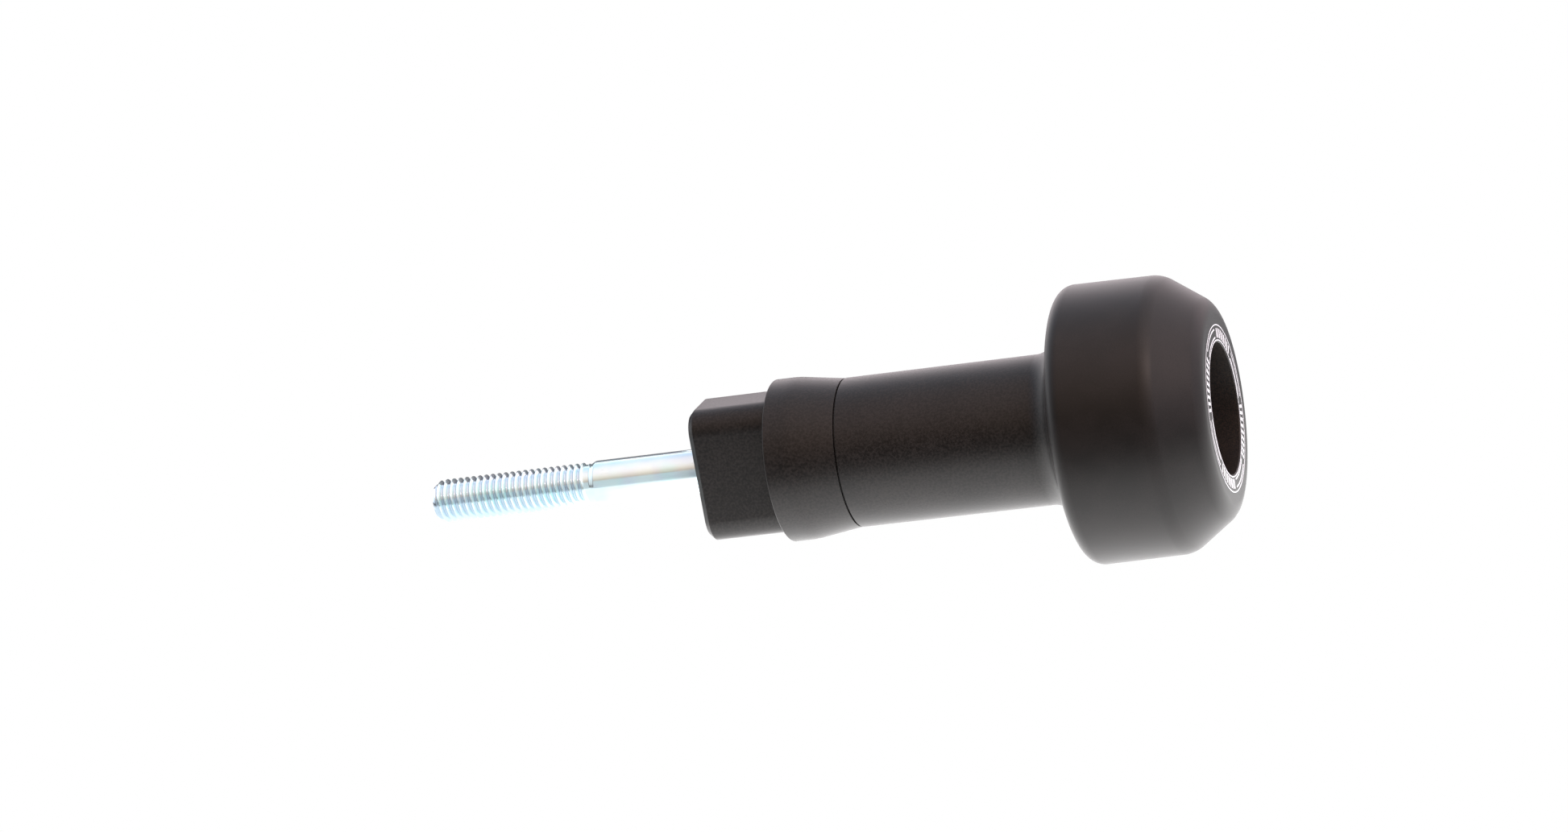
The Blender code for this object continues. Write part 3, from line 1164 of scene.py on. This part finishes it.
@dataclass(frozen=True)
class PhotoCamera:
    """A long lens that looks down a little and leans to its right."""

    azimuth: float = 16.35
    elevation: float = 12.49
    roll: float = 10.53
    distance: float = 1.0105
    target: tuple[float, float, float] = (0.01606, 0.00019, 0.00814)
    lens: float = 129.5
    sensor: float = 36.0
    near_clip: float = 0.01

    def build(self) -> None:
        """Place the camera and make it the scene's."""
        back = toward(self.azimuth, self.elevation)
        level = toward(self.azimuth + 90.0, 0.0)
        plumb = back.cross(level)
        lean = math.radians(self.roll)
        up = plumb * math.cos(lean) + level * math.sin(lean)
        right = level * math.cos(lean) - plumb * math.sin(lean)
        data = bpy.data.cameras.new("photo_camera")
        data.lens = self.lens
        data.sensor_width = self.sensor
        data.clip_start = self.near_clip
        camera = bpy.data.objects.new("photo_camera", data)
        axes = Matrix((right, up, back)).transposed()
        place = Vector(self.target) + back * self.distance
        camera.matrix_world = Matrix.Translation(place) @ axes.to_4x4()
        bpy.context.scene.collection.objects.link(camera)
        bpy.context.scene.camera = camera


@dataclass(frozen=True)
class Wall:
    """One soft side of the light tent: where its middle stands and the light it gives."""

    azimuth: float
    elevation: float
    light: Colour
    gather: float = 4.0


@dataclass(frozen=True)
class SoftBox:
    """A soft lamp that shines at the slider from one side."""

    name: str
    azimuth: float
    elevation: float
    distance: float
    width: float
    height: float
    watts: float
    colour: Colour


@dataclass(frozen=True)
class Card:
    """A small card near the bolt, which only the bolt's bright metal mirrors."""

    name: str
    middle: tuple[float, float, float]
    size: tuple[float, float]
    tilt: float
    light: Colour

    def build(self) -> None:
        """Stand the card in its place, out of the camera's sight."""
        deselect()
        bpy.ops.mesh.primitive_plane_add(
            size=1.0, location=self.middle, rotation=(math.radians(self.tilt), 0.0, 0.0)
        )
        bpy.context.object.scale = (*self.size, 1.0)
        card = settle(self.name)
        material, graph = material_graph(self.name)
        glow = graph.node("ShaderNodeEmission", {}, {"Color": opaque(self.light)}).outputs[0]
        graph.node("ShaderNodeOutputMaterial", {}, {"Surface": glow})
        card.data.materials.append(material)
        card.visible_camera = False
        card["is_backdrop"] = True


@dataclass(frozen=True)
class Studio:
    """A light tent round the slider, soft lamps and a plain white table lit from below."""

    walls: tuple[Wall, ...] = (
        Wall(180.0, 3.0, (1.46, 1.13, 1.17)),
        Wall(180.0, 35.0, (0.36, 0.46, 0.50)),
        Wall(90.0, 35.0, (1.86, 1.63, 1.73)),
        Wall(0.0, 65.0, (1.00, 0.68, 0.45)),
        Wall(270.0, 65.0, (0.36, 0.45, 0.64)),
        Wall(197.0, 12.0, (0.90, 0.88, 0.90), 40.0),
        Wall(252.0, 0.0, (2.10, 2.10, 2.14), 8.0),
    )
    boxes: tuple[SoftBox, ...] = (
        SoftBox("warm_lamp", 50.0, 46.0, 1.2, 0.20, 0.20, 2.4, (1.0, 0.76, 0.68)),
    )
    cards: tuple[Card, ...] = (
        Card("dark_card", (-0.055, 0.045, 0.018), (0.074, 0.036), 90.0, (0.03, 0.025, 0.045)),
        Card("low_card", (-0.038, 0.046, 0.007), (0.100, 0.020), 90.0, (0.03, 0.025, 0.045)),
        Card("pale_card", (-0.050, -0.015, -0.013), (0.060, 0.090), 0.0, (1.18, 1.24, 1.26)),
        Card("grey_card", (-0.070, -0.100, 0.0117), (0.080, 0.0666), 90.0, (0.52, 0.58, 0.62)),
    )
    aim: tuple[float, float, float] = (0.05, 0.0, 0.0)
    white: Colour = (1.0, 1.0, 1.0)
    table_size: float = 6.0
    table_gap: float = 0.0004
    near_glow: Colour = (3.30, 3.27, 3.26)
    near_reach: tuple[float, float] = (0.01, 0.145)
    near_middle: tuple[float, float] = (0.028, 0.010)
    near_stretch: float = 2.0
    back_glow: Colour = (1.04, 1.03, 1.06)
    back_reach: tuple[float, float] = (0.10, 0.18)

    def build_world(self) -> None:
        """Show plain white to the camera, and light the slider by the tent's walls."""
        world = bpy.data.worlds.new("light_tent")
        world.use_nodes = True
        bpy.context.scene.world = world
        graph = Graph(world.node_tree)
        ray = graph.node("ShaderNodeTexCoord", {}, {}).outputs["Generated"]
        total: Any = (0.0, 0.0, 0.0)
        for wall in self.walls:
            way = toward(wall.azimuth, wall.elevation)
            ends = {0: ray, 1: way}
            facing = graph.node("ShaderNodeVectorMath", {"operation": "DOT_PRODUCT"}, ends)
            share = Signal(graph, facing.outputs["Value"]).above(0.0, 1.0) ** wall.gather
            total = graph.vector("ADD", total, graph.scaled(wall.light, share))
        shown = graph.mix(graph.seen(), total, self.white)
        tent = graph.node("ShaderNodeBackground", {}, {"Color": shown}).outputs[0]
        graph.node("ShaderNodeOutputWorld", {}, {"Surface": tent})

    def build_boxes(self) -> None:
        """Hang the soft lamps, which the camera doesn't see."""
        for box in self.boxes:
            way = toward(box.azimuth, box.elevation)
            data = bpy.data.lights.new(box.name, "AREA")
            data.shape = "RECTANGLE"
            data.size = box.width
            data.size_y = box.height
            data.energy = box.watts
            data.color = box.colour
            lamp = bpy.data.objects.new(box.name, data)
            lamp.location = Vector(self.aim) + way * box.distance
            lamp.rotation_mode = "QUATERNION"
            lamp.rotation_quaternion = way.to_track_quat("Z", "Y")
            lamp.visible_camera = False
            bpy.context.scene.collection.objects.link(lamp)

    def build_table(self) -> None:
        """Lay the white table just under the slider: it glows under it and behind it."""
        low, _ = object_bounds()
        deselect()
        bpy.ops.mesh.primitive_plane_add(
            size=self.table_size, location=(0.0, 0.0, low.z - self.table_gap)
        )
        table = settle("light_table")
        material, graph = material_graph("table_glow")
        along, across, _ = graph.parts(graph.place())
        beside = (along - self.near_middle[0]) / self.near_stretch
        behind = across - self.near_middle[1]
        near = 1 - ((beside * beside + behind * behind) ** 0.5).above(*self.near_reach)
        back = across.above(*self.back_reach) * (1 - near)
        glow = graph.vector(
            "ADD", graph.scaled(self.near_glow, near), graph.scaled(self.back_glow, back)
        )
        shown = graph.mix(graph.seen(), glow, self.white)
        light = graph.node("ShaderNodeEmission", {}, {"Color": shown}).outputs[0]
        graph.node("ShaderNodeOutputMaterial", {}, {"Surface": light})
        table.data.materials.append(material)
        table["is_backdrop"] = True

    def build(self) -> None:
        """Set up the whole studio."""
        bpy.context.scene.view_settings.view_transform = "Standard"
        self.build_table()
        self.build_world()
        self.build_boxes()
        for card in self.cards:
            card.build()


def main() -> None:
    """Build the slider's pieces in order, then the studio and the camera."""
    logging.basicConfig(level=logging.INFO, format="%(message)s")
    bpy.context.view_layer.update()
    anodised = BlastedAnodise().make()
    standoff = Standoff()
    standoff.build_spacer(anodised)
    standoff.build_hub(anodised)
    head = HeadGroup()
    head.build_puck(TurnedNylon().make())
    head.build_insert(TurnedMetal().make())
    head.build_marks(WhitePrint().make())
    zinc = ZincPlate().make()
    fastener = Fastener()
    fastener.build_washer(zinc)
    fastener.build_bolt(zinc)
    PhotoCamera().build()
    Studio().build()


if __name__ == "__main__":
    main()
